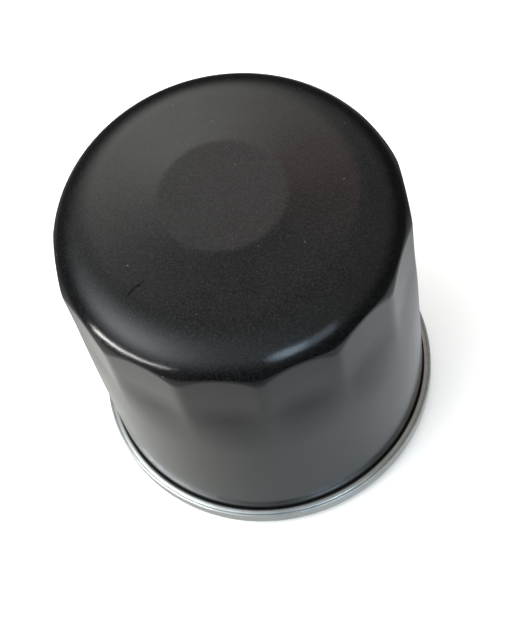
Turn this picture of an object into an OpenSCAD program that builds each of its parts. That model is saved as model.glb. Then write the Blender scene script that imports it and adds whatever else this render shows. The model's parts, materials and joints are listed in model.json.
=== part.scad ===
// Spin-on oil filter, standing on its gasket with the domed end up.
// Origin: centre of the gasket's sealing face. +Z runs along the axis, towards the dome.

/* [Canister] */
// Outer diameter of the can's round wall
can_d = 68; // [67:0.5:70]
// Height from the gasket's sealing face to the flat disc of the dome
overall_h = 74; // [72:0.5:78]
// Thickness of the can's sheet steel
can_t = 0.5; // [0.4:0.05:0.55]
// Outer radius of the shoulder between wall and dome
shoulder_r = 11.5; // [8:0.5:12]
// Slope of the dome, in degrees
dome_slope = 7.5; // [5:0.5:9]
// Diameter of the flat disc in the middle of the dome
dome_flat_d = 24; // [23:0.5:26]
// Number of flats pressed into the wall for a cap wrench
flat_count = 14; // [12:1:16]
// Distance between two opposite flats
flats_across = 66.2; // [65.6:0.1:66.2]
// Height at which the flats have run out into the round wall
flat_foot_z = 40; // [36:0.5:44]
// Height over which each flat runs out
flat_runout = 14; // [6:0.5:14]

/* [Seam and retainer] */
// Thickness of the retainer's sheet steel
retainer_t = 0.45; // [0.4:0.05:0.5]
// Height of the seam's rolled foot above the gasket's sealing face
seam_foot_z = 1.58; // [1.3:0.02:1.6]
// Height of the seam, from its rolled foot to its rolled top
seam_h = 3.8; // [3.2:0.1:4]
// Inner diameter of the retainer's weld land
land_id = 42; // [41:0.5:44]
// Height of the weld land above the gasket's sealing face
land_z = 2.6; // [2.2:0.1:2.8]

/* [Gasket] */
// Outer diameter of the gasket
gasket_od = 63; // [60:0.5:63]
// Inner diameter of the gasket
gasket_id = 55; // [55:0.5:57]
// Height of the uncompressed gasket
gasket_h = 5.2; // [5:0.1:5.4]

/* [Base plate] */
// Nominal diameter of the metric thread
thread_d = 20; // [18:1:20]
// Pitch of the metric thread
thread_pitch = 1.5; // [1:0.25:1.5]
// Height of the hub's top above the gasket's sealing face
hub_top_z = 13; // [12.6:0.1:13.2]
// Thickness of the plate
plate_t = 3; // [2.6:0.1:3.2]
// Number of oil inlet holes
inlet_count = 8; // [6:1:8]
// Diameter of each inlet hole
inlet_d = 4.8; // [4:0.2:5]
// Diameter of the circle that the inlet holes stand on
inlet_pcd = 34; // [33.6:0.2:34.4]

/* [Element] */
// Outer diameter of the element's end caps
element_od = 58.6; // [57:0.2:60]
// Height of the upper end cap's top above the gasket's sealing face
element_top_z = 56.4; // [54:0.2:57]
// Thickness of the end caps' sheet steel
cap_t = 0.4; // [0.3:0.05:0.5]
// Number of pleats, one of which is left out for the joint
pleat_count = 48; // [40:1:50]
// Thickness of the filter paper
paper_t = 0.5; // [0.4:0.05:0.55]
// Outer diameter of the perforated tube
tube_od = 29.8; // [29:0.2:30]
// Number of rows of holes in the tube
tube_rows = 8; // [4:1:9]
// Number of holes in each row
tube_columns = 8; // [6:1:10]

/* [Valves and springs] */
// Opening travel of the bypass valve, used for its guide
bypass_travel = 3; // [2:0.5:3]
// Wire diameter of the bypass spring
bypass_wire = 0.8; // [0.6:0.1:0.9]
// Turns of the bypass spring
bypass_turns = 6; // [5:1:7]
// Wire diameter of the element spring
element_wire = 1.8; // [1.4:0.1:2]
// Turns of the element spring
element_turns = 4; // [3:1:5]

/* [Hidden] */

round_fn = 128;     // facets shown on a large round; the solid itself is truly round
small_fn = 48;      // the same for a small round
past = 1;           // how far a cutter runs past what it cuts
can_r = can_d / 2;

// Double seam, from the axis outward: chuck wall, can wall, cover hook, body hook, seaming wall.
seam_play = 0.05;
chuck_r = can_r - can_t - 0.02 - retainer_t;
cover_hook_r = can_r + seam_play;
body_hook_r = cover_hook_r + retainer_t + 0.1;
seaming_r = body_hook_r + can_t + 0.17;
seam_r = seaming_r + retainer_t;
panel_out = (seam_r - chuck_r) / 2;
panel_centre = [chuck_r + panel_out, seam_foot_z + panel_out];
fold_out = (body_hook_r + can_t - (can_r - can_t)) / 2;
fold_centre = [can_r - can_t + fold_out, panel_centre[1] + 0.225];
cover_out = (seam_r - cover_hook_r) / 2;
cover_centre = [cover_hook_r + cover_out, seam_foot_z + seam_h - cover_out];

// Retainer, inside the seam: weld land, channel for the gasket, chuck wall.
channel_wall_r = gasket_id / 2 - 0.6;
channel_top_z = gasket_h;
channel_bend = 0.3;
land_bend = 0.5;
chuck_bend = 1.5;

// Base plate: a dished plate with a hub drawn up from it.
plate_z = land_z + retainer_t;
plate_top_z = plate_z + plate_t;
rim_z = channel_top_z + retainer_t + seam_play;
rim_r = can_r - can_t - 0.5;
dish_r = channel_wall_r - 0.2;
joggle_r = dish_r - 3.5;
thread_r = (thread_d - 1.0825 * thread_pitch) / 2;
hub_r = 12;
mouth_chamfer = 0.8;

// Anti-drainback valve: the collar is clamped round the hub, and the lip covers the inlet holes.
collar_r = hub_r + seam_play;
collar_wall = 2.15;
flange_r = 17.5;
flange_t = 1;
cap_z = hub_top_z + 0.4;
lip_r = 22.8;
lip_root_r = collar_r + collar_wall + 0.3;
lip_t = 1.2;

// Element
element_r = element_od / 2;
tube_r = tube_od / 2;
tube_t = 0.6;
neck_r = tube_r - tube_t - 0.2 - cap_t;
cap_skirt = 2.6;
potting_t = 1.2;
media_z = cap_z + cap_t + potting_t;
media_top_z = element_top_z - cap_t - potting_t;
media_r = element_r - cap_t - 0.5;
media_bore_r = tube_r + 0.5;
tip_half_w = 0.8;
root_half_w = 0.2;
joint_gap = 0.05;

// Bypass valve, hung in the tube from the upper end cap
cage_r = 8.95;
cage_t = 0.5;
cage_flange_r = 12.4;
seat_r = 5.6;
seal_r = 7.6;
seal_t = 1.35;
disc_t = 0.8;
disc_z = element_top_z - seam_play - seal_t - disc_t;
cage_floor_z = disc_z - 10.7;
stem_r = 1.5;
stem_play = 0.08;
window_w = 7;

/* Shared shapes */

// Half of a ring in the r-z plane, the lower or the upper half, for a sheet folded back on itself.
module fold(centre, outer, thickness, upper) {
    intersection() {
        translate(centre) difference() {
            circle(r = outer, $fn = small_fn);
            circle(r = outer - thickness, $fn = small_fn);
        }
        translate([centre[0] - outer, upper ? centre[1] : centre[1] - outer])
            square([2 * outer, outer]);
    }
}

// Quarter of a ring in the r-z plane; side_r and side_z are 1 or -1 and say which quarter.
module corner(centre, inner, thickness, side_r, side_z) {
    outer = inner + thickness;
    intersection() {
        translate(centre) difference() {
            circle(r = outer, $fn = small_fn);
            circle(r = inner, $fn = small_fn);
        }
        translate([centre[0] + (side_r < 0 ? -outer : 0), centre[1] + (side_z < 0 ? -outer : 0)])
            square([outer, outer]);
    }
}

// Rectangle in the r-z plane between two corners.
module strip(r0, z0, r1, z1) {
    translate([r0, z0]) square([r1 - r0, z1 - z0]);
}

// Turns a profile drawn in the r-z plane about the axis.
module turned() {
    rotate_extrude($fn = round_fn) children();
}

// Plain ring or disc.
module ring(outer, inner, z0, z1) {
    turned() strip(inner, z0, outer, z1);
}

// Round wire wound into a closed-end coil between two heights.
module coil(mean_r, wire_d, turns, z0, z1) {
    sides = 8;
    steps = 20;
    wire_r = wire_d / 2;
    active = turns - 2;
    rise = (z1 - z0 - 3 * wire_d) / active;
    count = turns * steps;
    // Height of the wire's centre after t turns: one closed turn, the open turns, one closed turn.
    function height(t) = z0 + wire_r
        + (t < 1 ? t * wire_d
        : t < turns - 1 ? wire_d + (t - 1) * rise
        : wire_d + active * rise + (t - turns + 1) * wire_d);
    points = [for (i = [0:count], j = [0:sides - 1])
        let (turn = i / steps, a = j * 360 / sides, r = mean_r + wire_r * cos(a))
        [r * cos(turn * 360), r * sin(turn * 360), height(turn) + wire_r * sin(a)]];
    walls = [for (i = [0:count - 1], j = [0:sides - 1])
        let (k = (j + 1) % sides, a = i * sides, b = a + sides)
        [a + j, b + j, b + k, a + k]];
    first = [for (j = [0:sides - 1]) j];
    last = [for (j = [sides - 1:-1:0]) count * sides + j];
    polyhedron(points, concat(walls, [first], [last]), convexity = 10);
}

/* Canister */

// Solid of the can's drawn outline, inset by a wall's thickness, with its flats pressed in.
module drawn_form(inset, foot_z) {
    centre_r = can_r - shoulder_r;
    centre_z = overall_h - shoulder_r * cos(dome_slope)
        - (centre_r + shoulder_r * sin(dome_slope) - dome_flat_d / 2) * tan(dome_slope);
    bend = shoulder_r - inset;
    tangent = [centre_r + bend * sin(dome_slope), centre_z + bend * cos(dome_slope)];
    flat_r = dome_flat_d / 2 - inset * tan(dome_slope / 2);
    flat_half = flats_across / 2 - inset;
    cutter_r = can_r + past;
    runout_slope = (can_r - inset - flat_half) / flat_runout;
    difference() {
        turned() {
            polygon([[0, foot_z], [can_r - inset, foot_z], [can_r - inset, centre_z],
                tangent, [flat_r, overall_h - inset], [0, overall_h - inset]]);
            intersection() {
                translate([centre_r, centre_z]) circle(r = bend, $fn = round_fn);
                translate([centre_r, centre_z]) square(shoulder_r);
            }
        }
        for (k = [0:flat_count - 1]) {
            rotate([90, 0, k * 360 / flat_count])
                linear_extrude(height = can_r, center = true)
                    polygon([[flat_half, flat_foot_z + flat_runout],
                        [cutter_r, flat_foot_z + flat_runout - (cutter_r - flat_half) / runout_slope],
                        [cutter_r, overall_h], [flat_half, overall_h]]);
        }
    }
}

module canister() {
    color([0.11, 0.115, 0.12]) {
        difference() {
            drawn_form(0, fold_centre[1]);
            drawn_form(can_t, fold_centre[1] - past);
        }
        turned() {
            fold(fold_centre, fold_out, can_t, false);
            strip(body_hook_r, fold_centre[1], body_hook_r + can_t, cover_centre[1] + 0.125);
        }
    }
}

/* Seam and retainer */

module retainer() {
    wall_out = channel_wall_r + retainer_t;
    color([0.78, 0.78, 0.76]) turned() {
        strip(land_id / 2, land_z, channel_wall_r - land_bend, plate_z);
        corner([channel_wall_r - land_bend, plate_z + land_bend], land_bend, retainer_t, 1, -1);
        strip(channel_wall_r, plate_z + land_bend, wall_out, channel_top_z - channel_bend);
        corner([wall_out + channel_bend, channel_top_z - channel_bend], channel_bend, retainer_t, -1, 1);
        strip(wall_out + channel_bend, channel_top_z, chuck_r - chuck_bend, channel_top_z + retainer_t);
        corner([chuck_r - chuck_bend, channel_top_z - chuck_bend], chuck_bend, retainer_t, 1, 1);
        strip(chuck_r, panel_centre[1], chuck_r + retainer_t, channel_top_z - chuck_bend);
        fold(panel_centre, panel_out, retainer_t, false);
        strip(seaming_r, panel_centre[1], seam_r, cover_centre[1]);
        fold(cover_centre, cover_out, retainer_t, true);
        strip(cover_hook_r, fold_centre[1] + 0.1, cover_hook_r + retainer_t, cover_centre[1]);
    }
}

// Crescent of compound between the retainer's panel and the can's fold.
module seam_sealant() {
    film = 0.01;
    color([0.45, 0.44, 0.42]) turned() {
        intersection() {
            difference() {
                translate(panel_centre) circle(r = panel_out - retainer_t - film, $fn = small_fn);
                translate(fold_centre) circle(r = fold_out + film, $fn = small_fn);
            }
            strip(chuck_r, seam_foot_z, seam_r, panel_centre[1] - 0.33);
        }
    }
}

module gasket() {
    ease = 0.5;
    lower = 0.3;
    color([0.06, 0.06, 0.065]) turned() {
        polygon([[gasket_id / 2 + lower, 0], [gasket_od / 2 - lower, 0],
            [gasket_od / 2, lower], [gasket_od / 2, gasket_h - ease], [gasket_od / 2 - ease, gasket_h],
            [gasket_id / 2 + ease, gasket_h], [gasket_id / 2, gasket_h - ease], [gasket_id / 2, lower]]);
    }
}

/* Base plate */

module base_plate() {
    ease = 0.5;
    joggle = rim_z + plate_t - plate_top_z;
    color([0.55, 0.56, 0.58]) difference() {
        turned() {
            polygon([[thread_r + mouth_chamfer, plate_z], [dish_r - ease, plate_z],
                [dish_r, plate_z + ease], [dish_r, rim_z], [rim_r, rim_z],
                [rim_r, rim_z + plate_t - ease], [rim_r - ease, rim_z + plate_t],
                [joggle_r + joggle, rim_z + plate_t], [joggle_r, plate_top_z],
                [hub_r + mouth_chamfer, plate_top_z], [hub_r, plate_top_z + mouth_chamfer],
                [hub_r, hub_top_z - 0.3], [hub_r - 0.3, hub_top_z], [thread_r + 0.4, hub_top_z],
                [thread_r, hub_top_z - 0.4], [thread_r, plate_z + mouth_chamfer]]);
        }
        for (k = [0:inlet_count - 1]) {
            rotate(k * 360 / inlet_count)
                translate([inlet_pcd / 2, 0, plate_z - past])
                    cylinder(d = inlet_d, h = plate_t + 2 * past, $fn = small_fn);
        }
    }
}

/* Anti-drainback valve */

module drainback_collar() {
    outer = collar_r + collar_wall;
    color([0.09, 0.09, 0.1]) turned() {
        polygon([[collar_r + mouth_chamfer + 0.1, plate_top_z], [outer, plate_top_z],
            [outer, cap_z - flange_t], [flange_r, cap_z - flange_t], [flange_r, cap_z],
            [collar_r, cap_z], [collar_r, plate_top_z + mouth_chamfer + 0.1]]);
    }
}

module drainback_lip() {
    seat_z = plate_top_z + seam_play;
    seat_r0 = inlet_pcd / 2 + inlet_d / 2 + 1.2;
    root_z = cap_z - flange_t - 3.1;
    color([0.09, 0.09, 0.1]) turned() {
        polygon([[lip_root_r, root_z], [seat_r0 - 0.4, seat_z + 0.8], [seat_r0, seat_z],
            [lip_r - 0.4, seat_z], [lip_r, seat_z + 0.5], [lip_r, seat_z + lip_t],
            [seat_r0 + 0.3, seat_z + lip_t + 0.6], [lip_root_r, root_z + lip_t]]);
    }
}

/* Element */

module lower_end_cap() {
    color([0.74, 0.74, 0.72]) turned() {
        strip(neck_r, cap_z, element_r, cap_z + cap_t);
        strip(element_r - cap_t, cap_z, element_r, cap_z + cap_skirt);
        strip(neck_r, cap_z, neck_r + cap_t, cap_z + cap_skirt);
    }
}

module upper_end_cap() {
    color([0.74, 0.74, 0.72]) turned() {
        strip(cage_r + joint_gap, element_top_z - cap_t, element_r, element_top_z);
        strip(element_r - cap_t, element_top_z - cap_skirt, element_r, element_top_z);
    }
}

module lower_potting() {
    color([0.72, 0.55, 0.3]) ring(element_r - cap_t - joint_gap, tube_r + joint_gap, cap_z + cap_t, media_z);
}

module upper_potting() {
    color([0.72, 0.55, 0.3])
        ring(element_r - cap_t - joint_gap, tube_r + joint_gap, media_top_z, element_top_z - cap_t);
}

// Corners of one side of the folded paper. A pleat is a finger with a blunt tip, and the first
// place is left without one. shift moves the outline inward by the paper's thickness.
function pleat_side(shift) = [for (k = [0:pleat_count - 1])
    let (pitch = 360 / pleat_count, middle = k * pitch,
        tip_r = media_r - shift, root_r = media_bore_r + paper_t - shift,
        half_tip = (tip_half_w - shift) / tip_r * 180 / PI,
        half_gap = (root_half_w + shift) / root_r * 180 / PI)
    each k == 0
        ? [polar(root_r, middle - pitch / 2 + half_gap), polar(root_r, middle + pitch / 2 - half_gap)]
        : [polar(root_r, middle - pitch / 2 + half_gap), polar(tip_r, middle - half_tip),
            polar(tip_r, middle + half_tip), polar(root_r, middle + pitch / 2 - half_gap)]];
function polar(r, a) = [r * cos(a), r * sin(a)];
joint_r0 = media_bore_r + paper_t - 0.1;
joint_r1 = media_r - 1.2;
clip_t = 0.35;
clip_r0 = media_r - 6;

module filter_media() {
    color([0.85, 0.76, 0.55]) translate([0, 0, media_z]) {
        linear_extrude(height = media_top_z - media_z) {
            difference() {
                polygon(pleat_side(0));
                polygon(pleat_side(paper_t));
            }
            translate([joint_r0, -paper_t]) square([joint_r1 - joint_r0, 2 * paper_t]);
        }
    }
}

// Channel of folded strip over the two paper ends.
module media_clip() {
    half = paper_t + joint_gap;
    color([0.7, 0.71, 0.72]) translate([0, 0, media_z]) {
        linear_extrude(height = media_top_z - media_z) {
            difference() {
                translate([clip_r0, -half - clip_t])
                    square([joint_r1 + joint_gap + clip_t - clip_r0, 2 * (half + clip_t)]);
                translate([clip_r0 - past, -half])
                    square([joint_r1 + joint_gap - clip_r0 + past, 2 * half]);
            }
        }
    }
}

module centre_tube() {
    hole_d = 3.4;
    low = cap_z + cap_t;
    high = element_top_z - cap_t;
    margin = 5;
    row_step = (high - low - 2 * margin) / (tube_rows - 1);
    color([0.66, 0.67, 0.68]) difference() {
        ring(tube_r, tube_r - tube_t, low, high);
        for (row = [0:tube_rows - 1], column = [0:tube_columns - 1]) {
            rotate((column + (row % 2) / 2) * 360 / tube_columns)
                translate([tube_r - tube_t - past, 0, low + margin + row * row_step])
                    rotate([0, 90, 0])
                        cylinder(d = hole_d, h = tube_t + 2 * past, $fn = small_fn);
        }
    }
}

/* Bypass valve */

module bypass_cage() {
    window_low = cage_floor_z + 2;
    window_high = disc_z - 0.5;
    inner_r = cage_r - cage_t;
    color([0.7, 0.7, 0.68]) difference() {
        turned() {
            strip(seat_r, element_top_z, cage_flange_r, element_top_z + cage_t);
            strip(inner_r, cage_floor_z - cage_t, cage_r, element_top_z);
            strip(stem_r + stem_play, cage_floor_z - cage_t, inner_r, cage_floor_z);
            strip(stem_r + stem_play, cage_floor_z - cage_t - 1, stem_r + stem_play + cage_t, cage_floor_z);
        }
        for (k = [0:3]) {
            rotate(45 + k * 90)
                translate([inner_r - past, -window_w / 2, window_low])
                    cube([cage_t + 2 * past, window_w, window_high - window_low]);
        }
    }
}

module bypass_disc() {
    color([0.62, 0.63, 0.65]) ring(seal_r - 0.2, 0.9 + joint_gap, disc_z, disc_z + disc_t);
}

// Pin with a shoulder under the plate and a riveted head above it.
module bypass_stem() {
    color([0.6, 0.61, 0.63]) turned() {
        strip(0, cage_floor_z - bypass_travel, stem_r, disc_z);
        strip(0, disc_z, 0.9, disc_z + disc_t);
        strip(0, disc_z + disc_t, 1.7, disc_z + disc_t + 0.6);
    }
}

module bypass_seal() {
    color([0.08, 0.08, 0.09]) ring(seal_r, seat_r - 0.9, disc_z + disc_t, disc_z + disc_t + seal_t);
}

module bypass_spring() {
    color([0.68, 0.69, 0.7]) coil(4.2, bypass_wire, bypass_turns, cage_floor_z, disc_z);
}

module element_spring() {
    color([0.68, 0.69, 0.7])
        coil(10.2, element_wire, element_turns, element_top_z + cage_t, overall_h - can_t);
}

canister();
retainer();
seam_sealant();
base_plate();
gasket();
drainback_collar();
drainback_lip();
lower_end_cap();
lower_potting();
filter_media();
media_clip();
centre_tube();
upper_potting();
upper_end_cap();
bypass_cage();
bypass_disc();
bypass_stem();
bypass_seal();
bypass_spring();
element_spring();
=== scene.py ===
"""Looks of a spin-on oil filter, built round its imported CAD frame.

The frame is in metres, +Z up, with its origin at the centre of the gasket's sealing face.
Shapes are worked out in millimetres and angles in radians, and each mesh is scaled once it is whole.
"""
import json
from math import atan, ceil, cos, exp, hypot, pi, radians, sin, sqrt, tan

import bmesh
import bpy
from mathutils import Matrix, Vector


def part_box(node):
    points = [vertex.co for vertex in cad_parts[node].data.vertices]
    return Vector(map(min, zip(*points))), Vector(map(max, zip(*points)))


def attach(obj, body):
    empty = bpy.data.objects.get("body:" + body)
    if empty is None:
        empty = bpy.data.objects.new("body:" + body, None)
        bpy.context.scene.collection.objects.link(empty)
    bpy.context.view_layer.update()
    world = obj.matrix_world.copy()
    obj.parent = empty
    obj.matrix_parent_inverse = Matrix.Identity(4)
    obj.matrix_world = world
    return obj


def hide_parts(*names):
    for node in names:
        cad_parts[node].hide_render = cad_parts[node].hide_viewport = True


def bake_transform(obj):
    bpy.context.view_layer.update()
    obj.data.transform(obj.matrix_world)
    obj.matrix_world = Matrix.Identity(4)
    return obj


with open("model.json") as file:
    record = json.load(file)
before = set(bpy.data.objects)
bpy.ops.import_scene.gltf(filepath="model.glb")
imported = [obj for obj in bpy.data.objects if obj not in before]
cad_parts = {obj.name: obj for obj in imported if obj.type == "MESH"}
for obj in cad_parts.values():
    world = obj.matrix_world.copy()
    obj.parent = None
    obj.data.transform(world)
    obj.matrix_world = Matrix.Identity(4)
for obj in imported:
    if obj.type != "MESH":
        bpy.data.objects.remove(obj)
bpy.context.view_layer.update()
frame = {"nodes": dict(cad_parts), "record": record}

MM = 0.001
TURN = 2 * pi
SAME_PLACE = 1e-7       # points of a mesh that are nearer than this, in metres, become one
ROUND = 192             # steps round a large ring
SMALL = 64              # steps round a small one

record = frame["record"]
SLOTS = {part["node"]: part["material_slot"] for part in record["subparts"]}
BODIES = {node: body for body, nodes in record["behaviour"]["bodies"].items() for node in nodes}


# ---------------------------------------------------------------- lines and outlines

def extent(node):
    """Outer radius, lowest height and highest height of a CAD node, in millimetres."""
    low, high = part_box(node)
    return high.x / MM, low.z / MM, high.z / MM


def spread(low, high, steps):
    """steps + 1 even values from low to high."""
    return [low + (high - low) * i / steps for i in range(steps + 1)]


def mix(a, b, share):
    """The value at a share of the way from a to b."""
    return a + (b - a) * share


def smooth(x):
    """0 below 0, 1 above 1, and an S-curve between."""
    x = min(max(x, 0), 1)
    return x * x * (3 - 2 * x)


def lower_of(a, b, softness):
    """The lower of two values, with the corner between them rounded off."""
    share = min(max(0.5 + (b - a) / (2 * softness), 0), 1)
    return mix(b, a, share) - softness * share * (1 - share)


def arc(centre, radius, start, end, steps):
    """Points of an arc from one angle to another."""
    return [(centre[0] + radius * cos(a), centre[1] + radius * sin(a)) for a in spread(start, end, steps)]


def rounded(corners, closed=False, finest=radians(12)):
    """Points of a line through corners. A corner is (x, y) or, where it is an arc, (x, y, radius)."""
    points = []
    count = len(corners)
    for i, corner in enumerate(corners):
        at = Vector(corner[:2])
        is_end = not closed and i in (0, count - 1)
        if len(corner) < 3 or is_end:
            points.append(tuple(at))
            continue
        before = Vector(corners[i - 1][:2]) - at
        after = Vector(corners[(i + 1) % count][:2]) - at
        turn = pi - before.angle(after)
        cut = min(corner[2] * tan(turn / 2), before.length * 0.499, after.length * 0.499)
        steps = max(2, ceil(turn / finest))
        start = at + before.normalized() * cut
        end = at + after.normalized() * cut
        centre = at + (before.normalized() + after.normalized()).normalized() * (cut / sin(turn / 2))
        reach = (start - centre).length
        for share in spread(0, 1, steps):
            toward = (start - centre) * sin(turn * (1 - share)) + (end - centre) * sin(turn * share)
            points.append(tuple(centre + toward.normalized() * reach))
    return points


def divided(line, longest):
    """The same line with its long stretches divided."""
    points = [line[0]]
    for a, b in zip(line, line[1:]):
        steps = max(1, ceil(hypot(b[0] - a[0], b[1] - a[1]) / longest))
        points += [(mix(a[0], b[0], i / steps), mix(a[1], b[1], i / steps)) for i in range(1, steps + 1)]
    return points


def beside(line, distance):
    """The line moved sideways, to its left where distance is positive."""
    moved = []
    for i, at in enumerate(line):
        before = line[max(i - 1, 0)]
        after = line[min(i + 1, len(line) - 1)]
        along = Vector((after[0] - before[0], after[1] - before[1])).normalized()
        moved.append((at[0] - along.y * distance, at[1] + along.x * distance))
    return moved


def sheet_outline(line, thickness):
    """Closed outline of a sheet whose middle follows the line."""
    left = beside(line, thickness / 2)
    right = beside(line, -thickness / 2)
    return left + right[::-1] + left[:1]


def loop(corners, finest=radians(12)):
    """Closed outline through corners, its first point repeated at its end."""
    points = rounded(corners, closed=True, finest=finest)
    return points + points[:1]


def squircle(half_width, half_height, power, angles):
    """Points of an ellipse where power is 1, or of a rounded rectangle where it is small."""
    def bent(value):
        return abs(value) ** power * (1 if value > 0 else -1)
    return [(half_width * bent(cos(a)), half_height * bent(sin(a))) for a in angles]


# ---------------------------------------------------------------- meshes

class Shell:
    """A mesh that is put together from rings of points. Points that meet are joined at the end."""

    def __init__(self):
        self.points = []
        self.faces = []

    def rings(self, rings, closed=True):
        """Joins each ring of points to the next with quads."""
        size = len(rings[0])
        first = len(self.points)
        for ring in rings:
            self.points += ring
        for k in range(len(rings) - 1):
            for i in range(size if closed else size - 1):
                a = first + k * size + i
                b = first + k * size + (i + 1) % size
                self.faces.append((a, b, b + size, a + size))

    def turn(self, line, segments=ROUND, warp=None):
        """Turns a line in the r-z plane about the axis. warp may move each point of it at each angle."""
        rings = []
        for r, z, *rest in line:
            ring = []
            for i in range(segments):
                angle = TURN * i / segments
                at_r, at_z = warp(r, z, angle, *rest) if warp else (r, z)
                ring.append((at_r * cos(angle), at_r * sin(angle), at_z))
            rings.append(ring)
        self.rings(rings)

    def cell(self, hole, border, steps, place):
        """Quads from a hole out to its cell's border. place(u, v, share) puts a point in space."""
        self.rings([[place(mix(h[0], b[0], share), mix(h[1], b[1], share), share)
                     for h, b in zip(hole, border)] for share in spread(0, 1, steps)])

    def lid(self, ring):
        """Closes a ring with one face."""
        first = len(self.points)
        self.points += ring
        self.faces.append(tuple(range(first, first + len(ring))))

    def piece(self, name, sharp=radians(38)):
        """The finished Blender object."""
        mesh = bpy.data.meshes.new(name)
        mesh.from_pydata([tuple(c * MM for c in p) for p in self.points], [], self.faces)
        work = bmesh.new()
        work.from_mesh(mesh)
        bmesh.ops.remove_doubles(work, verts=work.verts, dist=SAME_PLACE)
        bmesh.ops.recalc_face_normals(work, faces=work.faces)
        work.to_mesh(mesh)
        work.free()
        mesh.shade_smooth()
        mesh.set_sharp_from_angle(angle=sharp)
        made = bpy.data.objects.new(name, mesh)
        bpy.context.scene.collection.objects.link(made)
        return made


def turned(name, outline, segments=ROUND, warp=None):
    """A piece that is one outline turned about the axis."""
    shell = Shell()
    shell.turn(outline, segments, warp)
    return shell.piece(name)


def folded(name, line, thickness, heights):
    """A strip of sheet that stands up and follows a line in plan."""
    shell = Shell()
    left, right = beside(line, thickness / 2), beside(line, -thickness / 2)
    rings = [[(*a, z) for z in heights] + [(*b, z) for z in reversed(heights)]
             for a, b in zip(left, right)]
    shell.rings(rings)
    for ring in (rings[0], rings[-1]):
        rows = len(heights)
        shell.rings([ring[:rows], ring[:rows - 1:-1]], closed=False)
    return shell.piece(name)


def wound(name, node, wire, turns, sides=16, steps=56):
    """Coil spring with closed, ground ends that fills its CAD node."""
    outer, bottom, top = extent(node)
    mean = outer - wire / 2
    ground = wire * 0.28    # from an end coil's middle to its ground face
    start, end = bottom + ground, top - ground
    rise = (end - start - 2 * wire) / (turns - 2)
    rings = []
    for i in range(turns * steps + 1):
        t = i / steps
        closed = min(t, 1) + max(t - turns + 1, 0)
        centre = start + closed * wire + min(max(t - 1, 0), turns - 2) * rise
        ring = []
        for side in range(sides):
            a = TURN * side / sides
            r = mean + wire / 2 * cos(a)
            z = min(max(centre + wire / 2 * sin(a), bottom), top)
            ring.append((r * cos(TURN * t), r * sin(TURN * t), z))
        rings.append(ring)
    shell = Shell()
    shell.rings(rings)
    shell.lid(rings[0])
    shell.lid(rings[-1])
    return shell.piece(name)


def cell_border(u0, v0, u1, v1, across, up):
    """Points round a rectangular cell, from its lower left corner, anticlockwise."""
    return ([(u, v0) for u in spread(u0, u1, across)[:-1]] + [(u1, v) for v in spread(v0, v1, up)[:-1]]
            + [(u, v1) for u in spread(u1, u0, across)[:-1]] + [(u0, v) for v in spread(v1, v0, up)[:-1]])


def cell_angles(across, up):
    """The hole's angle for each point of cell_border."""
    angles = []
    for side, steps in enumerate((across, up, across, up)):
        first = radians(-135 + 90 * side)
        angles += spread(first, first + pi / 2, steps)[:-1]
    return angles


# ---------------------------------------------------------------- the can

CAN_R = 34.0
CAN_T = 0.5
SHOULDER_R = 11.5
SLOPE = radians(7.5)
DISC_R = 12.0
DISC_EDGE_R = 9.0       # blend from the flat disc into the slope
FLATS = 14
FLAT_HALF = 33.1        # from the axis to a flat
RIDGE_R = 5.0           # rounding between two flats
FOOT = 35.0             # where a flat has faded into the round wall
STEEPEST = 49.0         # where its run-out leans most
FULL = 55.5             # where it is at its full depth
EDGE = 0.16             # rounding where a flat meets the shoulder


def flat_radius(angle, half):
    """Radius at an angle of a round-cornered polygon whose flats stand half from the axis."""
    width = TURN / FLATS
    off = abs((angle + width / 2) % width - width / 2)
    core = half - RIDGE_R
    if off < atan(core * tan(width / 2) / half):
        return half / cos(off)
    corner = core / cos(width / 2)
    side = width / 2 - off
    return corner * cos(side) + sqrt(RIDGE_R ** 2 - (corner * sin(side)) ** 2)


def depth_at(z):
    """Share of a flat's depth that is reached at a height: a slow start from its foot, a quick close."""
    if z < STEEPEST:
        return (max(z - FOOT, 0) ** 2 / (STEEPEST - FOOT)) / (FULL - FOOT)
    return 1 - max(FULL - z, 0) ** 2 / ((FULL - STEEPEST) * (FULL - FOOT))


def pressed(r, z, angle, inset):
    """Presses the wrench flats into the can's upper wall."""
    if z < FOOT:
        return r, z
    wall = CAN_R - inset
    drawn_in = (wall - flat_radius(angle, FLAT_HALF) + inset) * depth_at(z)
    return lower_of(r, wall - drawn_in, EDGE * depth_at(z) + 1e-6), z


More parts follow.
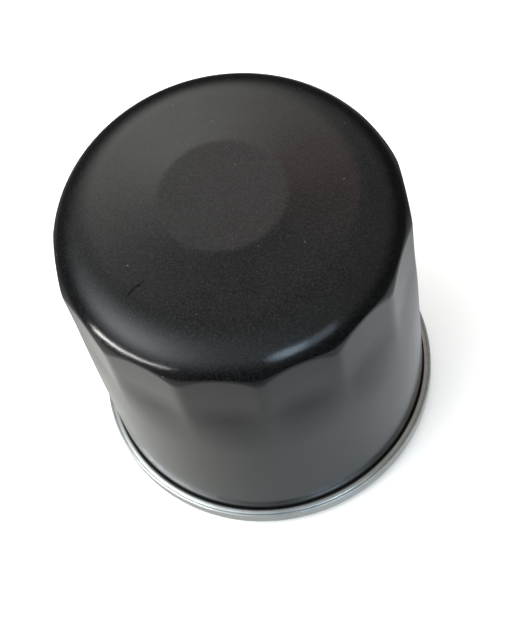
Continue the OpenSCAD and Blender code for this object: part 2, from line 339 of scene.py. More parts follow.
def can():
    """Flat disc, sloping dome, shoulder and wall, then the hook that is folded into the seam."""
    hook_r, _, top = extent("canister")
    hook_top, fold_z = 4.67, 3.15
    fold = (CAN_R + hook_r - CAN_T) / 2, fold_z
    fold_r = (hook_r - CAN_R + CAN_T) / 2
    bend_r = CAN_R - SHOULDER_R
    drop = (bend_r + SHOULDER_R * sin(SLOPE) - DISC_R) * tan(SLOPE)
    bend_z = top - SHOULDER_R * cos(SLOPE) - drop

    def form(inset):
        """The can's face from the middle of the disc to the fold, moved in by inset."""
        bend = SHOULDER_R - inset
        dome = [(0, top - inset), (DISC_R * 0.5, top - inset), (DISC_R, top - inset, DISC_EDGE_R),
                (bend_r + bend * sin(SLOPE), bend_z + bend * cos(SLOPE))]
        dome = divided(rounded(dome, finest=radians(1.5)), 1.0)
        shoulder = arc((bend_r, bend_z), bend, pi / 2 - SLOPE, 0, 44)
        heights = spread(bend_z, FOOT, 52)[1:] + spread(FOOT, fold_z + 2, 14)[1:] + [fold_z]
        return dome + shoulder[1:] + [(CAN_R - inset, z) for z in heights]

    hook = (arc(fold, fold_r - CAN_T, pi, TURN, 10) + [(hook_r - CAN_T, hook_top), (hook_r, hook_top)]
            + arc(fold, fold_r, TURN, pi, 12))
    line = [(r, z, 0) for r, z in form(0) + hook] + [(r, z, CAN_T) for r, z in reversed(form(CAN_T))]
    return turned("painted_can", line, FLATS * 20, pressed)


# ---------------------------------------------------------------- seam, retainer and base

SHEET_T = 0.45
SEAM_TOP = 5.38
CROWN_R = 34.5          # where the seam's rolled top is highest
CROWN_RISE = 0.06
TOP_FALL = 0.42         # from the middle of the rolled top to its outer edge
LINE_R = 35.2           # a fine line left by the seaming roll
LINE_HALF = 0.07
LINE_DEPTH = 0.09
WELDS = 8
WELD_RING_R = 24.2
WELD_R = 1.7
WELD_DEPTH = 0.2


def marked(r, z, angle):
    """Sinks the welding marks into the land's underside, and the roll's line into the seam's top."""
    if r > LINE_R - 0.3 and z > SEAM_TOP - 0.63:
        return r, z - LINE_DEPTH * exp(-((r - LINE_R) / LINE_HALF) ** 2)
    if r > WELD_RING_R + 2 or z > 2.75:
        return r, z
    step = TURN / WELDS
    off = (angle + step / 2) % step - step / 2
    away = hypot(r - WELD_RING_R, WELD_RING_R * off)
    return r, z + WELD_DEPTH * (1 - smooth((away / WELD_R - 0.45) / 0.55))


def retainer():
    """Weld land, gasket channel and chuck wall, then the sheet's way round the seam and into it."""
    seam_r, foot, top = extent("retainer")
    half = SHEET_T / 2
    land_z, channel_z = 2.6 + half, top - half
    channel_r, chuck_r, hook_r = 27.125, 33.255, 34.275
    outside = seam_r - half
    crown, edge = SEAM_TOP - half + CROWN_RISE, SEAM_TOP - half - TOP_FALL
    slope = [(r, mix(crown, edge, (r - CROWN_R) / (outside - CROWN_R)))
             for r in spread(LINE_R + 0.14, LINE_R - 0.2, 9)]
    line = rounded([
        (21.0, land_z), (channel_r, land_z, 0.8), (channel_r, channel_z, 0.6), (chuck_r, channel_z, 1.7),
        (chuck_r, foot + half, 1.12), (outside, foot + half, 1.12), (outside, 2.95, 1.2),
        (outside - 0.14, 3.35, 0.5), (outside - 0.02, 3.75, 0.6), (outside, edge, 0.2), *slope,
        (CROWN_R, crown, 0.28), (hook_r, crown - 0.04, 0.2), (hook_r, 3.25)], finest=radians(9))
    return turned("seamed_retainer", sheet_outline(divided(line, 0.45), SHEET_T), 288, marked)


def gasket():
    """Square rubber ring with the fine flash of its mould round its middle."""
    outer, bottom, top = extent("gasket")
    inner = 27.5
    middle = (bottom + top) / 2
    flash = 0.07
    outline = loop([
        (inner, bottom, 0.35), (outer, bottom, 0.35), (outer, middle - 0.12),
        (outer + flash, middle, 0.05), (outer, middle + 0.12), (outer, top, 0.55), (inner, top, 0.55)])
    return turned("rubber_gasket", outline, 256)


THREAD_R = 10.0
THREAD_PITCH = 1.5
THREAD_DEPTH = 0.5413 * THREAD_PITCH
MOUTH = 0.12            # how far the chamfer at the bottom opens past the thread
TOP_EASE = 0.05         # the same at the top of the hub
INLETS = 8
INLET_R = 2.4
INLET_RING_R = 17.0


def tapped(bottom, top):
    """Warp that cuts the thread and its two chamfers into the bore.

    Over one pitch it has a groove an eighth wide at its full radius, two flanks of five sixteenths
    and a ridge a quarter wide.
    """
    def warp(r, z, angle, in_bore=False):
        if not in_bore:
            return r, z
        phase = (z / THREAD_PITCH - angle / TURN) % 1
        flank = min(max((abs(phase - 0.5) - 1 / 16) / (5 / 16), 0), 1)
        groove = THREAD_R - THREAD_DEPTH * flank
        lead_in = max(THREAD_R + MOUTH - (z - bottom), THREAD_R + TOP_EASE - (top - z))
        return max(groove, lead_in), z
    return warp


def base_plate():
    """Tapping plate: threaded hub, band with the inlets, and raised rim."""
    rim_r, bottom, hub_top = extent("base_plate")
    hub_r, dish_r = 12.0, 26.7
    rim_low, rim_top = 5.7, 8.7
    plate_top = bottom + 3.0
    inside, outside = 13.4, 20.6    # the band that holds the inlets
    ease = 0.3
    shell = Shell()
    under = [(inside, bottom)] + [(r, bottom) for r in spread(12.6, THREAD_R + MOUTH, 3)]
    bore = [(THREAD_R, z, True) for z in spread(bottom, hub_top, 130)]
    shell.turn(under + bore, warp=tapped(bottom, hub_top))
    hub = [(THREAD_R + TOP_EASE, hub_top), (hub_r, hub_top, 0.5), (hub_r, plate_top, 0.8),
           (inside, plate_top)]
    shell.turn(rounded(hub))
    rim = rounded([
        (outside, plate_top), (23.2, plate_top, 2.0), (25.9, rim_top, 2.0), (rim_r, rim_top, 0.7),
        (rim_r, rim_low, 0.5), (dish_r, rim_low, 0.9), (dish_r, bottom, 0.7), (outside, bottom)])
    shell.turn(divided(rim, 1.5))
    across, up = ROUND // INLETS, 6
    wedge = TURN / INLETS
    angles = [pi / 2 - a for a in reversed(cell_angles(across, up))]
    border = [(r * cos(a), r * sin(a)) for a, r in
              reversed(cell_border(-wedge / 2, inside, wedge / 2, outside, across, up))]
    wall = [(INLET_R + ease, bottom), (INLET_R, bottom + ease), (INLET_R, plate_top - ease),
            (INLET_R + ease, plate_top)]

    def rim_of(radius):
        return [(INLET_RING_R + radius * cos(a), radius * sin(a)) for a in angles]

    for k in range(INLETS):
        def place(x, y, z):
            a = wedge * k
            return x * cos(a) - y * sin(a), x * sin(a) + y * cos(a), z

        for z in (bottom, plate_top):
            shell.cell(rim_of(INLET_R + ease), border, 5, lambda x, y, _: place(x, y, z))
        shell.rings([[place(x, y, z) for x, y in rim_of(radius)] for radius, z in wall])
    return shell.piece("tapped_plate")


# ---------------------------------------------------------------- anti-drainback valve

def drainback_collar():
    """The part of the rubber valve that the hub and the element hold."""
    flange_r, bottom, top = extent("drainback_collar")
    inner, outer = 12.05, 14.2
    under = top - 1.0
    return turned("drainback_ring", loop([
        (inner, bottom + 1, 0.6), (inner + 1, bottom, 0.4), (outer, bottom, 0.4), (outer, under, 1.0),
        (flange_r, under, 0.35), (flange_r, top, 0.35), (inner, top, 0.3)]))


def drainback_skirt():
    """The sloping skirt, down to the bead that rests on the plate outside the inlets."""
    lip_r, bottom, top = extent("drainback_lip")
    root = 13.7
    skirt_t = 1.2
    return turned("drainback_skirt", loop([
        (root, top - skirt_t, 0.2), (14.9, top - skirt_t - 0.1, 0.8), (20.2, bottom + 0.9, 1.2),
        (20.6, bottom, 0.3), (lip_r - 0.4, bottom, 0.3), (lip_r, bottom + 0.5, 0.3),
        (lip_r - 0.1, bottom + skirt_t, 0.5), (20.9, bottom + skirt_t + 0.6, 1.5), (14.9, top, 0.8),
        (root, top, 0.2)]))


# ---------------------------------------------------------------- element

CAP_T = 0.4


def end_cap(name, node, inner, neck, up):
    """Pressed cap with a stiffening bead. up is 1 where its skirt points up, -1 where it points down."""
    outer, bottom, top = extent(node)
    face = bottom + CAP_T / 2 if up > 0 else top - CAP_T / 2
    edge = top if up > 0 else bottom
    rim = outer - CAP_T / 2
    bead = face - 0.55 * up
    line = [(inner + CAP_T / 2, edge), (inner + CAP_T / 2, face, 0.6)] if neck else [(inner, face)]
    line += [(19.0, face, 0.8), (20.2, bead, 0.8), (23.8, bead, 0.8), (25.0, face, 0.8),
             (rim, face, 0.7), (rim, edge)]
    return turned(name, sheet_outline(rounded(line), CAP_T))


def lower_cap():
    return end_cap("lower_cap", "lower_end_cap", inner=13.7, neck=True, up=1)


def upper_cap():
    return end_cap("upper_cap", "upper_end_cap", inner=9.0, neck=False, up=-1)


def adhesive(name, node, up):
    """Ring of set adhesive whose free face has crept up at both walls."""
    outer, bottom, top = extent(node)
    inner = 14.95
    free, hidden = (top, bottom) if up > 0 else (bottom, top)
    creep = 0.35 * up
    outline = [(inner, hidden), (outer, hidden)]
    outline += [(mix(outer, inner, t), free - creep * (1 - (2 * t - 1) ** 6)) for t in spread(0, 1, 24)]
    return turned(name, outline + outline[:1])


def lower_adhesive():
    return adhesive("lower_adhesive", "lower_potting", 1)


def upper_adhesive():
    return adhesive("upper_adhesive", "upper_potting", -1)


PLEATS = 48
PAPER_T = 0.5
TIP_HALF = 0.55
ROOT_HALF = 0.45
TAB_R = 27.2


def pleated_paper():
    """One strip folded round the tube, its two ends standing side by side as a tab for the clip."""
    outer, bottom, top = extent("filter_media")
    tip = outer - PAPER_T / 2
    root = 15.4 + PAPER_T / 2
    pitch = TURN / PLEATS
    tab_y = PAPER_T / 2 + 0.01

    def at(radius, angle, bend):
        return radius * cos(angle), radius * sin(angle), bend

    corners = [(TAB_R, tab_y), (root, tab_y, 0.3)]
    for k in range(1, PLEATS):
        middle = k * pitch
        corners += [at(root, middle - pitch / 2 + ROOT_HALF / root, 0.4),
                    at(tip, middle - TIP_HALF / tip, 0.5), at(tip, middle + TIP_HALF / tip, 0.5),
                    at(root, middle + pitch / 2 - ROOT_HALF / root, 0.4)]
    corners += [(root, -tab_y, 0.3), (TAB_R, -tab_y)]
    line = divided(rounded(corners, finest=radians(24)), 3.2)
    return folded("pleated_paper", line, PAPER_T, spread(bottom, top, 12))


CLIP_T = 0.35


def pleat_clip():
    """Strip folded over the two ends of the paper."""
    outer, bottom, top = extent("media_clip")
    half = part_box("media_clip")[1].y / MM - CLIP_T / 2
    end = outer - CLIP_T / 2
    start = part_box("media_clip")[0].x / MM
    line = rounded([(start, half), (end, half, 0.35), (end, -half, 0.35), (start, -half)])
    return folded("pleat_clip", divided(line, 1.0), CLIP_T, spread(bottom, top, 30))


TUBE_T = 0.6
TUBE_ROWS = 8
TUBE_COLUMNS = 8
TUBE_HOLE_R = 1.7
TUBE_MARGIN = 5.0
PUNCHED_IN = 0.16       # how far a hole's edge is drawn in


def perforated_tube():
    """Rolled tube with rows of punched holes, every other row half a step round."""
    outer, bottom, top = extent("centre_tube")
    across, up = 12, 6
    width = TURN * outer / TUBE_COLUMNS
    step = (top - bottom - 2 * TUBE_MARGIN) / (TUBE_ROWS - 1)
    border = cell_border(-width / 2, -step / 2, width / 2, step / 2, across, up)
    angles = cell_angles(across, up)
    shell = Shell()

    def wall(u, v, radius):
        return radius * cos(u / outer), radius * sin(u / outer), v

    for row in range(TUBE_ROWS):
        for column in range(TUBE_COLUMNS):
            u0 = (column + (row % 2) / 2) * width
            v0 = bottom + TUBE_MARGIN + row * step
            hole = squircle(TUBE_HOLE_R, TUBE_HOLE_R, 1, angles)

            def skin(radius):
                """The wall round a punched hole, drawn in a little at its edge."""
                return lambda u, v, share: wall(u0 + u, v0 + v, radius - PUNCHED_IN * (1 - share) ** 4)

            shell.cell(hole, border, 7, skin(outer))
            shell.cell(hole, border, 7, skin(outer - TUBE_T))
            shell.rings([[wall(u0 + u, v0 + v, outer - PUNCHED_IN - depth) for u, v in hole]
                         for depth in spread(0, TUBE_T, 2)])
    segments = across * TUBE_COLUMNS
    first, last = bottom + TUBE_MARGIN - step / 2, top - TUBE_MARGIN + step / 2
    inner = outer - TUBE_T
    shell.turn([(inner, first), (inner, bottom), (outer, bottom), (outer, first)], segments)
    shell.turn([(outer, last), (outer, top), (inner, top), (inner, last)], segments)
    return shell.piece("perforated_tube")


# ---------------------------------------------------------------- bypass valve and springs

def valve_cage():
    """Cup whose flange is the valve's seat, with four windows and a guide for the stem."""
    flange_r, bottom, top = extent("bypass_cage")
    sheet = 0.5
    outer, inner = 8.95, 8.45
    seat, guide = 5.6, 1.58
    floor_z = bottom + 1.5
    flange_z = top - sheet
    low, high = floor_z + 1.2, flange_z - 1.6
    window_low, window_high = floor_z + 2, flange_z - 2.7
    window_z = (window_low + window_high) / 2
    window_half = (window_high - window_low) / 2
    across, up = 20, 12
    segments = across * 4   # so that its steps fall on the cells' own borders
    upper = rounded([
        (outer, high), (outer, flange_z, 0.5), (flange_r, flange_z, 0.2), (flange_r, top, 0.2),
        (seat, top, 0.2), (seat, flange_z, 0.2), (inner, flange_z, 0.3), (inner, high)])
    lower = rounded([
        (inner, low), (inner, floor_z, 0.4), (guide, floor_z, 0.25), (guide, bottom, 0.1),
        (guide + sheet, bottom, 0.1), (guide + sheet, floor_z - sheet, 0.4),
        (outer, floor_z - sheet, 0.9), (outer, low)])
    shell = Shell()
    quarter = TURN / 4
    shell.turn(upper, segments)
    shell.turn(lower, segments)
    border = cell_border(-quarter / 2, low, quarter / 2, high, across, up)
    half_angle = 3.5 / outer
    shape = squircle(half_angle, window_half, 0.3, cell_angles(across, up))
    window = [(u, window_z + v) for u, v in shape]
    for k in range(4):
        middle = quarter / 2 + quarter * k

        def skin(radius):
            return lambda u, v, share: (radius * cos(middle + u), radius * sin(middle + u), v)

        shell.cell(window, border, 4, skin(outer))
        shell.cell(window, border, 4, skin(inner))
        shell.rings([[skin(radius)(u, v, 0) for u, v in window] for radius in (outer, inner)])
    return shell.piece("valve_cage")


def valve_plate():
    """Flat plate with a hole for the pin's neck."""
    outer, bottom, top = extent("bypass_disc")
    hole = 0.95
    return turned("valve_plate", loop([
        (hole, bottom, 0.1), (outer, bottom, 0.3), (outer, top, 0.3), (hole, top, 0.1)]), SMALL)


def valve_pin():
    """Stem, the neck that goes through the plate, and the riveted head."""
    _, bottom, top = extent("bypass_stem")
    _, plate_low, plate_high = extent("bypass_disc")
    body, neck, head = 1.5, 0.9, 1.7
    line = rounded([
        (0, bottom), (body, bottom, 0.4), (body, plate_low, 0.05), (neck, plate_low, 0.05),
        (neck, plate_high, 0.05), (head, plate_high, 0.12), (head * 0.95, top, 0.45), (0, top)])
    return turned("valve_pin", line, SMALL)


def valve_seal():
    """Rubber ring whose narrow top closes on the seat."""
    outer, bottom, top = extent("bypass_seal")
    inner = 4.7
    return turned("valve_seal", loop([
        (inner, bottom, 0.2), (outer, bottom, 0.2), (outer, top - 0.3, 0.3), (6.4, top, 0.35),
        (5.6, top, 0.35), (inner, top - 0.3, 0.3)]), 96)


def valve_spring():
    return wound("valve_spring", "bypass_spring", wire=0.8, turns=6)


def hold_down_spring():
    return wound("hold_down_spring", "element_spring", wire=1.8, turns=4)


# ---------------------------------------------------------------- materials

class Nodes:
    """A node tree under construction."""

    def __init__(self, tree):
        self.tree = tree

    def add(self, kind, inputs=None, **settings):
        node = self.tree.nodes.new(kind)
        for key, value in settings.items():
            setattr(node, key, value)
        for key, value in (inputs or {}).items():
            if isinstance(value, bpy.types.NodeSocket):
                self.tree.links.new(value, node.inputs[key])
            else:
                node.inputs[key].default_value = value
        return node

    def maths(self, operation, a, b=0.0):
        return self.add("ShaderNodeMath", {0: a, 1: b}, operation=operation).outputs[0]

    def span(self, value, low, high, out_low=0.0, out_high=1.0):
        """Carries a value's range from low to high onto another range, and holds it there."""
        node = self.add("ShaderNodeMapRange", {
            "Value": value, "From Min": low, "From Max": high, "To Min": out_low, "To Max": out_high})
        return node.outputs["Result"]

    def along(self, vector, way):
        """How far a vector reaches along a direction."""
        node = self.add("ShaderNodeVectorMath", {0: vector, 1: way}, operation="DOT_PRODUCT")
        return node.outputs["Value"]


class Finish(Nodes):
    """A material under construction: one shader, fed by procedural textures in the object's own space."""

    def __init__(self, name, **sockets):
        self.material = bpy.data.materials.new(name)
        self.material.use_nodes = True
        super().__init__(self.material.node_tree)
        self.shader = self.tree.nodes["Principled BSDF"]
        self.space = self.add("ShaderNodeTexCoord").outputs["Object"]
        for socket, value in sockets.items():
            self.shader.inputs[socket.replace("_", " ")].default_value = value

    def feed(self, socket, value):
        self.tree.links.new(value, self.shader.inputs[socket])

    def noise(self, size, detail=3, rough=0.5, space=None):
        """Cloudy pattern from 0 to 1. size is the width of its features in millimetres."""
        node = self.add("ShaderNodeTexNoise", {
            "Vector": space or self.space, "Scale": 1 / (size * MM), "Detail": detail, "Roughness": rough})
        return node.outputs["Fac"]

    def cells(self, size):
        """How far a point is from the nearest of many scattered dots, which stand about size apart."""
        node = self.add("ShaderNodeTexVoronoi", {"Vector": self.space, "Scale": 1 / (size * MM)})
        return node.outputs["Distance"]

    def stretched(self, x, y, z):
        """The object's space, with its axes scaled."""
        node = self.add("ShaderNodeMapping", {"Vector": self.space, "Scale": (x, y, z)})
        return node.outputs["Vector"]

    def turning_space(self, along=0.02):
        """Space in which a pattern runs round the axis, as lathe and rolling marks do."""
        apart = self.add("ShaderNodeSeparateXYZ", {"Vector": self.space})
        square = [self.maths("MULTIPLY", apart.outputs[i], apart.outputs[i]) for i in (0, 1)]
        radius = self.maths("SQRT", self.maths("ADD", *square))
        drift = self.maths("MULTIPLY", apart.outputs[0], along)
        joined = self.add("ShaderNodeCombineXYZ", {"X": radius, "Y": drift, "Z": apart.outputs[2]})
        return joined.outputs["Vector"]

    def tint(self, value, first, second):
        """A colour that goes from first to second as the value goes from 0 to 1."""
        node = self.add("ShaderNodeMix", data_type="RGBA")
        self.tree.links.new(value, node.inputs["Factor"])
        for name, colour in (("A", first), ("B", second)):
            socket = next(s for s in node.inputs if s.name == name and s.type == "RGBA")
            if isinstance(colour, bpy.types.NodeSocket):
                self.tree.links.new(colour, socket)
            else:
                socket.default_value = (*colour, 1)
        return next(s for s in node.outputs if s.type == "RGBA")

    def bump(self, height, depth, under=None, strength=1.0):
        """Raises the surface by depth millimetres where height is 1."""
        inputs = {"Height": height, "Distance": depth * MM, "Strength": strength}
        if under:
            inputs["Normal"] = under
        return self.add("ShaderNodeBump", inputs).outputs["Normal"]

    def score(self, centre, angle, half_length, half_width):
        """1 along a short straight score seen from above, and 0 elsewhere. Lengths are in millimetres."""
        offset = self.add("ShaderNodeVectorMath", {
            0: self.space, 1: (*(c * MM for c in centre), 0)}, operation="SUBTRACT").outputs["Vector"]
        inside = []
        for course, half in ((angle, half_length), (angle + pi / 2, half_width)):
            reach = self.along(offset, (cos(course), sin(course), 0))
            inside.append(self.span(self.maths("ABSOLUTE", reach), half * 0.5 * MM, half * MM, 1.0, 0.0))
        return self.maths("MULTIPLY", *inside)


SCORE_AT = (-18.1, -14.6)
SCORE_COURSE = radians(29)


def satin_black():
    """Baked satin enamel: orange peel, faint mottle and grain, a few specks of dust and one score."""
    f = Finish("satin_black_enamel", IOR=1.47)
    mottle = f.noise(9, 4, 0.6)
    grain = f.noise(0.34, 3, 0.6)
    base = f.tint(f.span(mottle, 0.35, 0.65), (0.002, 0.002, 0.0024), (0.004, 0.004, 0.0044))
    base = f.tint(f.span(grain, 0.44, 0.76), base, (0.016, 0.0163, 0.0167))
    near = f.span(f.cells(3.6), 0.03, 0.055, 1.0, 0.0)
    picked = f.span(f.noise(5.5, 1), 0.5, 0.56)
    speck = f.maths("MULTIPLY", near, picked)
    f.feed("Base Color", f.tint(speck, base, (0.08, 0.08, 0.075)))
    broken = f.span(f.noise(0.8, 2), 0.38, 0.5, 0.45, 1.0)
    score = f.score(SCORE_AT, SCORE_COURSE, half_length=2.9, half_width=0.4)
    scored = f.maths("MULTIPLY", score, broken)
    f.feed("Metallic", f.span(scored, 0.0, 1.0, 0.0, 0.72))
    gloss = f.span(f.noise(4, 5, 0.65), 0.3, 0.7, 0.14, 0.19)
    gloss = f.maths("ADD", gloss, f.maths("MULTIPLY", speck, 0.4))
    f.feed("Roughness", f.maths("ADD", gloss, f.maths("MULTIPLY", scored, 0.4)))
    peel = f.bump(f.noise(0.7, 2), 0.006, f.bump(f.noise(1.6, 2), 0.009))
    f.feed("Normal", f.bump(grain, 0.008, peel))
    return f.material


def tinned_steel():
    """Bright tinned sheet with fine marks of rolling round the axis."""
    f = Finish("tinned_steel", Metallic=1.0)
    rolled = f.noise(0.12, 2, 0.6, f.turning_space())
    cloud = f.noise(6, 4, 0.6)
    f.feed("Base Color", f.tint(f.span(cloud, 0.3, 0.7), (0.49, 0.49, 0.485), (0.63, 0.63, 0.62)))
    f.feed("Roughness", f.span(rolled, 0.25, 0.75, 0.2, 0.36))
    f.feed("Normal", f.bump(rolled, 0.009, f.bump(f.noise(2.5, 2), 0.012)))
    return f.material


def plate_steel():
    """Thick pressed plate with a film of oil, turned faces and darker mill scale."""
    f = Finish("oiled_plate", Metallic=1.0, Coat_Weight=0.3, Coat_Roughness=0.12)
    turned_marks = f.noise(0.25, 2, 0.7, f.turning_space(0.05))
    scale = f.noise(3.5, 5, 0.65)
    f.feed("Base Color", f.tint(f.span(scale, 0.35, 0.65), (0.33, 0.335, 0.35), (0.5, 0.5, 0.5)))
    f.feed("Roughness", f.span(scale, 0.3, 0.7, 0.28, 0.46))
    f.feed("Normal", f.bump(turned_marks, 0.012, f.bump(f.noise(1.2, 4), 0.02)))
    return f.material


def stamped_steel(name="bright_stamping", dark=(0.5, 0.5, 0.5), light=(0.64, 0.64, 0.63), grain=0.2):
    """Pressed strip with the straight grain of its coil."""
    f = Finish(name, Metallic=1.0)
    lines = f.noise(grain, 3, 0.7, f.stretched(0.06, 1, 1))
    cloud = f.noise(3, 4, 0.6)
    f.feed("Base Color", f.tint(f.span(cloud, 0.3, 0.7), dark, light))
    f.feed("Roughness", f.span(lines, 0.25, 0.75, 0.26, 0.42))
    f.feed("Normal", f.bump(lines, 0.008))
    return f.material


def tube_steel():
    """The same strip, darker and with a coarser grain."""
    return stamped_steel("tube_strip", (0.42, 0.43, 0.44), (0.56, 0.565, 0.57), 0.35)


def spring_steel():
    """Drawn wire with an oil-tempered skin."""
    f = Finish("spring_wire", Metallic=1.0, Coat_Weight=0.2, Coat_Roughness=0.2)
    drawn = f.noise(0.18, 3, 0.7, f.turning_space(0.3))
    temper = f.noise(5, 3)
    f.feed("Base Color", f.tint(f.span(temper, 0.3, 0.7), (0.3, 0.31, 0.33), (0.46, 0.46, 0.46)))
    f.feed("Roughness", f.span(drawn, 0.2, 0.8, 0.26, 0.4))
    f.feed("Normal", f.bump(drawn, 0.008))
    return f.material


def nitrile():
    """Moulded black rubber with a faint bloom."""
    f = Finish("nitrile_rubber", IOR=1.52)
    bloom = f.noise(4, 5, 0.65)
    grain = f.noise(0.3, 3, 0.6)
    colour = f.tint(f.span(bloom, 0.45, 0.75), (0.018, 0.018, 0.019), (0.045, 0.045, 0.046))
    f.feed("Base Color", colour)
    f.feed("Roughness", f.span(bloom, 0.3, 0.7, 0.5, 0.68))
    f.feed("Normal", f.bump(grain, 0.012, f.bump(f.noise(2.2, 2), 0.02)))
    return f.material


def seam_compound():
    """Dried sealing compound."""
    f = Finish("seam_compound", IOR=1.48)
    cloud = f.noise(1.5, 4, 0.6)
    f.feed("Base Color", f.tint(f.span(cloud, 0.3, 0.7), (0.34, 0.33, 0.3), (0.5, 0.49, 0.45)))
    f.feed("Roughness", f.span(cloud, 0.3, 0.7, 0.45, 0.6))
    f.feed("Normal", f.bump(f.noise(0.5, 3), 0.02))
    return f.material


def adhesive_resin():
    """Amber plastisol, clouded with small bubbles."""
    f = Finish("plastisol", IOR=1.5, Subsurface_Weight=0.15, Subsurface_Scale=0.001)
    cloud = f.noise(4, 4, 0.6)
    bubbles = f.cells(1.4)
    f.feed("Base Color", f.tint(f.span(cloud, 0.3, 0.7), (0.5, 0.32, 0.12), (0.66, 0.46, 0.2)))
    f.feed("Roughness", f.span(cloud, 0.3, 0.7, 0.25, 0.4))
    f.feed("Normal", f.bump(f.span(bubbles, 0.1, 0.3), 0.03, f.bump(cloud, 0.05)))
    return f.material


def filter_paper():
    """Resin-treated cellulose: matted fibres and uneven take-up of the resin."""
    f = Finish("resin_paper", IOR=1.4, Specular_IOR_Level=0.3)
    fibres = f.noise(0.35, 5, 0.75, f.stretched(1, 1, 0.25))
    matted = f.noise(0.22, 4, 0.7)
    resin = f.noise(7, 4, 0.6)
    colour = f.tint(f.span(resin, 0.3, 0.7), (0.7, 0.54, 0.3), (0.83, 0.7, 0.45))
    f.feed("Base Color", f.tint(f.span(fibres, 0.4, 0.7, 0.0, 0.5), colour, (0.9, 0.82, 0.62)))
    f.feed("Roughness", f.span(matted, 0.3, 0.7, 0.75, 0.92))
    f.feed("Normal", f.bump(matted, 0.03, f.bump(fibres, 0.03)))
    return f.material


# ---------------------------------------------------------------- camera, light and floor

# The camera is fitted to the can's outline in the photo.
CAMERA_AZIMUTH = radians(-86)
CAMERA_ELEVATION = radians(60.91)
CAMERA_ROLL = radians(15.0)
CAMERA_DISTANCE = 309.8
CAMERA_LENS = 87.43
AIM_HEIGHT = 29.6
AIM_SIDE = 0.5

FLOOR_R = 3000.0
FLOOR_Z = -0.04
SHEET_R = 150.0         # a greyer copy of the floor with painted light and shade, which only the can's gloss shows
SHEET_Z = -0.05


def heading(azimuth, elevation):
    """Unit vector from the origin towards an azimuth and an elevation."""
    return Vector((cos(elevation) * cos(azimuth), cos(elevation) * sin(azimuth), sin(elevation)))


def make_camera():
    """Looks at the can from the photo's side, with the same tilt of the picture."""
    back = heading(CAMERA_AZIMUTH, CAMERA_ELEVATION)
    level = Vector((-sin(CAMERA_AZIMUTH), cos(CAMERA_AZIMUTH), 0))
    upright = back.cross(level)
    right = level * cos(CAMERA_ROLL) - upright * sin(CAMERA_ROLL)
    up = level * sin(CAMERA_ROLL) + upright * cos(CAMERA_ROLL)
    aim = Vector((0, 0, AIM_HEIGHT)) + level * AIM_SIDE
    camera = bpy.data.objects.new("camera", bpy.data.cameras.new("camera"))
    camera.data.lens = CAMERA_LENS
    camera.data.sensor_width = 36
    camera.data.clip_start = 0.01
    camera.location = (aim + back * CAMERA_DISTANCE) * MM
    camera.rotation_mode = "QUATERNION"
    camera.rotation_quaternion = Matrix((right, up, back)).transposed().to_quaternion()
    bpy.context.scene.collection.objects.link(camera)
    bpy.context.scene.camera = camera


def panel(name, place, width, height, radiance, colour, shape="RECTANGLE", back_to=None):
    """Soft light at an azimuth, an elevation and a distance, in degrees and millimetres.

    Its back is to its own azimuth, so that it faces the can, or to the azimuth back_to.
    """
    azimuth, elevation, distance = place
    light = bpy.data.lights.new(name, "AREA")
    light.shape = shape
    light.size = width * MM
    light.size_y = height * MM
    light.color = colour
    light.energy = 4 * radiance * light.size * light.size_y     # Cycles divides it by four times the area
    made = bpy.data.objects.new(name, light)
    made.location = heading(radians(azimuth), radians(elevation)) * distance * MM
    back = heading(radians(azimuth if back_to is None else back_to), radians(elevation))
    made.rotation_mode = "QUATERNION"
    made.rotation_quaternion = back.to_track_quat("Z", "Y")
    made.visible_camera = False
    bpy.context.scene.collection.objects.link(made)
    return made


BLUISH = (0.62, 0.81, 1.0)
WHITE = (1.0, 0.99, 0.97)


def make_lights():
    """Three panels that show in the can's gloss, and two soft fills that don't."""
    panel("front_window", (-74, 20, 600), 190, 140, 2.4, BLUISH, shape="ELLIPSE")
    panel("front_spill", (-66, 18, 620), 400, 140, 1.5, BLUISH)
    panel("low_strip", (-141.3, 0.9, 484), 634, 13, 24.0, WHITE, back_to=150.7)
    ceiling = panel("ceiling", (0, 90, 900), 1600, 1600, 0.85, WHITE)
    key = panel("key", (180, 50, 900), 1000, 1000, 1.9, WHITE)
    for fill in (ceiling, key):
        fill.visible_glossy = False


ROOM = (    # glows of the room: azimuth, elevation, tightness, radiance and colour
    (103, 36, 13.0, 1.8, (1.0, 0.985, 0.95)),
    (-160, 20, 8.0, 3.7, (0.86, 0.94, 1.0)),
    (-98, 33, 8.0, 0.45, (0.5, 0.75, 1.0)),
    (72, 52, 60.0, 0.3, (1.0, 0.12, 0.15)))
ROOM_BASE = 0.33
ROOM_COLOUR = (0.985, 1.0, 0.93)


def make_world():
    """A dim room with a few soft glows, dark below the horizon."""
    world = bpy.data.worlds.new("room")
    world.use_nodes = True
    bpy.context.scene.world = world
    world.node_tree.nodes.clear()
    sky = Nodes(world.node_tree)

    def light(colour, level):
        return sky.add("ShaderNodeBackground", {"Color": (*colour, 1), "Strength": level}).outputs[0]

    toward = sky.add("ShaderNodeTexCoord").outputs["Generated"]
    rise = sky.add("ShaderNodeSeparateXYZ", {0: toward}).outputs["Z"]
    above = sky.span(rise, -0.1, 0.3, 0.08, 1.0)
    total = light(ROOM_COLOUR, sky.maths("MULTIPLY", above, ROOM_BASE))
    for azimuth, elevation, tightness, radiance, colour in ROOM:
        facing = sky.along(toward, heading(radians(azimuth), radians(elevation)))
        lobe = sky.maths("POWER", sky.maths("MAXIMUM", facing, 0.0), tightness)
        level = sky.maths("MULTIPLY", sky.maths("MULTIPLY", lobe, radiance), above)
        total = sky.add("ShaderNodeAddShader", {0: total, 1: light(colour, level)}).outputs[0]
    sky.add("ShaderNodeOutputWorld", {"Surface": total})


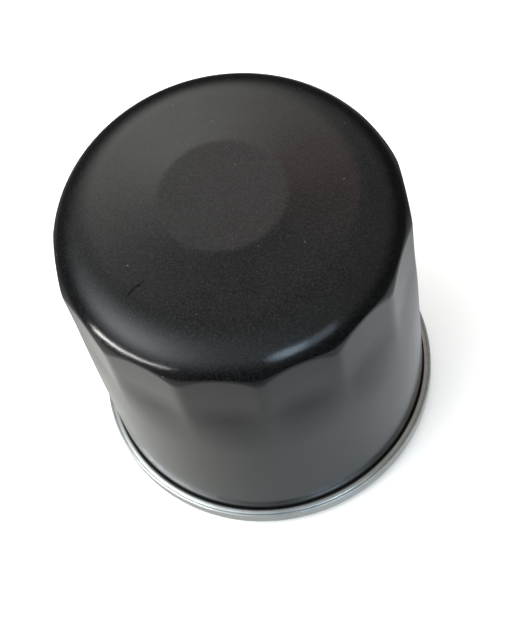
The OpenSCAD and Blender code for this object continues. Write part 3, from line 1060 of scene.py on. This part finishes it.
def paper(name):
    """Matt paper whose colour is still to be fed."""
    f = Finish(name, Specular_IOR_Level=0.2, Emission_Strength=0.13)
    f.feed("Roughness", f.span(f.noise(5, 3), 0.3, 0.7, 0.7, 0.85))
    return f


def white_paper():
    """Overexposed paper, as the photo has it."""
    f = paper("pale_floor")
    f.feed("Base Color", f.tint(f.noise(60, 3), (0.92, 0.915, 0.905), (0.94, 0.935, 0.93)))
    return f.material


def painted_light_paper():
    """Paper as the can mirrors it, painted with light and shade: painted warmer light at the left, painted
    cooler light at the right, painted shade at the back.

    A painted shadow darkens it away from the can, and close by it at the right it glows a little, a
    painted light.
    """
    f = paper("painted_light_sheet")
    apart = f.add("ShaderNodeSeparateXYZ", {"Vector": f.space})
    right, back = apart.outputs["X"], apart.outputs["Y"]
    away = f.add("ShaderNodeVectorMath", {0: f.space}, operation="LENGTH").outputs["Value"]
    # Painted light: the paper gets lighter and warmer towards the left, and lighter and bluer towards the
    # right.
    painted_warm_light = f.tint(f.span(right, -5 * MM, -75 * MM), (0.34, 0.34, 0.325), (0.69, 0.685, 0.65))
    painted_cool_light = f.tint(f.span(right, 42 * MM, 64 * MM), (0.5, 0.53, 0.55), (0.89, 0.91, 0.92))
    colour = f.tint(f.span(right, -22 * MM, 20 * MM), painted_warm_light, painted_cool_light)
    # Painted shade: darker at the back.
    colour = f.tint(f.span(back, 0, 40 * MM), colour, (0.14, 0.14, 0.14))
    # Painted shadow: darker away from the can.
    painted_shade_falloff = f.span(away, 50 * MM, 82 * MM, 1.0, 0.42)
    painted_shade_scaled = f.add("ShaderNodeVectorMath", {0: colour, "Scale": painted_shade_falloff}, operation="SCALE")
    f.feed("Base Color", painted_shade_scaled.outputs["Vector"])
    # Painted light: the paper glows close by the can at the right.
    painted_glow = f.span(away, 37 * MM, 52 * MM, 0.26, 0.0)
    f.feed("Emission Strength", f.maths("MULTIPLY", painted_glow, f.span(right, 20 * MM, 34 * MM)))
    return f.material


def disc(name, radius, height, material, in_gloss):
    """Part of the stage, seen either by the camera only or by every ray but the camera's."""
    shell = Shell()
    shell.turn([(r, height) for r in spread(0, radius, 6)], 96)
    made = shell.piece(name)
    made.data.materials.append(material)
    made.visible_camera = not in_gloss
    made.visible_glossy = in_gloss
    made.visible_diffuse = in_gloss
    made.visible_shadow = in_gloss


def make_floor():
    """The pale floor that the camera sees, and just below it the greyer sheet, a copy of the floor with
    painted light and shade, that the can mirrors and that lights it.
    """
    disc("floor", FLOOR_R, FLOOR_Z, white_paper(), in_gloss=False)
    disc("sheet", SHEET_R, SHEET_Z, painted_light_paper(), in_gloss=True)


# ---------------------------------------------------------------- the whole filter

def finish(piece, node, material):
    """Gives a piece its material and hides the CAD node that it stands for."""
    piece.data.materials.append(material)
    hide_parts(node)
    return piece


def assemble():
    """Builds each piece; the rigid ones are put on their bodies, and the ones between two bodies are left
    without one. The sealant is out of sight in the seam, so it keeps its CAD shape and is only given its
    finish.
    """
    finishes = {
        "can_paint": satin_black(), "tinplate": tinned_steel(), "plate_steel": plate_steel(),
        "bright_steel": stamped_steel(), "tube_steel": tube_steel(), "spring_steel": spring_steel(),
        "nitrile": nitrile(), "seam_compound": seam_compound(), "potting": adhesive_resin(),
        "filter_paper": filter_paper()}
    rigid = {
        "canister": can, "retainer": retainer, "base_plate": base_plate, "gasket": gasket,
        "drainback_collar": drainback_collar, "lower_end_cap": lower_cap, "lower_potting": lower_adhesive,
        "filter_media": pleated_paper, "media_clip": pleat_clip, "centre_tube": perforated_tube,
        "upper_potting": upper_adhesive, "upper_end_cap": upper_cap, "bypass_cage": valve_cage,
        "bypass_disc": valve_plate, "bypass_stem": valve_pin, "bypass_seal": valve_seal}
    for node, build in rigid.items():
        piece = finish(build(), node, finishes[SLOTS[node]])
        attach(piece, BODIES[node])

    # These span two bodies and are left without one; nothing here bends them. The numbers are how much of
    # each end, in millimetres, is to stay unbent, and the span between is worked out but not used.
    bending = {
        "element_spring": (hold_down_spring, "element", "housing", 0, 0),
        "bypass_spring": (valve_spring, "element", "bypass_valve", 0, 0),
        "drainback_lip": (drainback_skirt, "drainback_skirt", "housing", 1.0, 0.6)}
    for node, (build, low_body, high_body, low_held, high_held) in bending.items():
        piece = finish(build(), node, finishes[SLOTS[node]])
        _, bottom, top = extent(node)
        bottom, top = bottom + low_held, top - high_held
        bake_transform(piece)

    compound = frame["nodes"]["seam_sealant"]
    compound.data.materials.clear()
    compound.data.materials.append(finishes["seam_compound"])


assemble()
make_floor()
make_world()
make_lights()
make_camera()
bpy.context.scene.view_settings.view_transform = "Standard"
